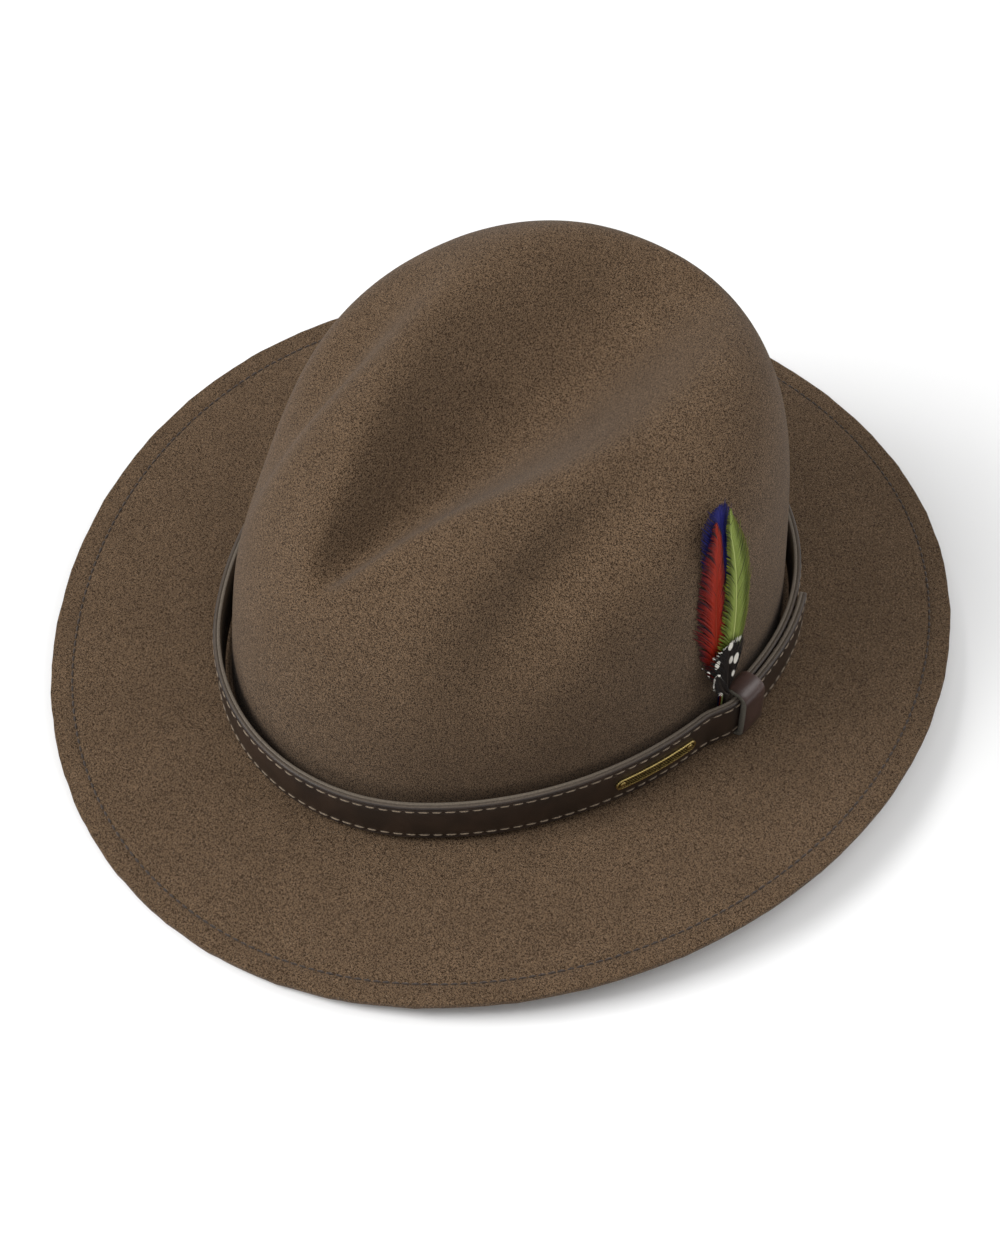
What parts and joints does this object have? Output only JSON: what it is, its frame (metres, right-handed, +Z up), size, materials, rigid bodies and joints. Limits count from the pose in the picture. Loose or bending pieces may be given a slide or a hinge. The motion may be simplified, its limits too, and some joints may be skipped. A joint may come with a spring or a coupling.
{
  "type": "fedora hat",
  "caption": "Brown wool-felt fedora with a teardrop crown, a stitched brim, a leather hatband with a brass plate and keeper, and a bunch of coloured feathers.",
  "frame": {"origin": "centre of the hat's outline, on the surface that the brim stands on", "axes": "+Z up, front of the hat towards -Y, wearer's left towards +X"},
  "size_m": [0.304, 0.332, 0.1286],
  "materials": {
    "felt": "heathered brown wool felt, slightly fuzzy, unpolished",
    "brim_thread": "dark brown twisted thread",
    "strap_leather": "smooth dark brown leather, waxed",
    "suede": "grey-brown split leather with a raw edge",
    "strap_thread": "light beige twisted thread",
    "keeper_leather": "smooth brown leather with raw grey-brown edges",
    "staple_steel": "bright flat wire",
    "aged_brass": "aged brass, dark in the recess and bright on the rim",
    "feather_blue": "dyed blue feather, darker at the base",
    "feather_red": "dyed red and orange feather with dark barbs",
    "feather_green": "dyed lime green feather with a pale centre",
    "feather_spotted": "black feather with white oval spots",
    "binding_thread": "black waxed binding thread",
    "sweatband_leather": "brown sheepskin, fine grain, satin",
    "reed_plastic": "thin brown welting",
    "sweatband_thread": "tan thread",
    "ribbon": "dark brown grosgrain ribbon",
    "tag_cloth": "blank off-white woven tag"
  },
  "bodies": {
    "hat": {"felt_body": "felt", "brim_stitching": "brim_thread", "sweatband": "sweatband_leather", "sweatband_reed": "reed_plastic", "sweatband_stitching": "sweatband_thread", "sweatband_seam_tape": "ribbon", "sweatband_bow": "ribbon", "size_tag": "tag_cloth"},
    "hatband": {"band_backing": "suede", "band_strap": "strap_leather", "band_stitching_lower": "strap_thread", "band_stitching_upper": "strap_thread", "brass_plate": "aged_brass", "plate_rivets": "aged_brass"},
    "keeper": {"keeper_loop": "keeper_leather", "keeper_staple": "staple_steel"},
    "feather_bunch": {"blue_feather": "feather_blue", "red_feather": "feather_red", "green_feather": "feather_green", "guinea_feather_front": "feather_spotted", "guinea_feather_side": "feather_spotted", "feather_binding": "binding_thread"}
  },
  "joints": [
    {"name": "hatband_lift", "type": "slide", "parent": "hat", "child": "hatband", "axis": [0, 0, 1], "range_m": [0, 0.12]},
    {"name": "keeper_slide", "type": "hinge", "parent": "hatband", "child": "keeper", "pos_m": [-0.03712, 0.006, 0.02], "axis": [0, 0, 1], "range_deg": [0, 9]},
    {"name": "feather_pull", "type": "slide", "parent": "hatband", "child": "feather_bunch", "axis": [0, 0, 1], "range_m": [0, 0.04]}
  ]
}
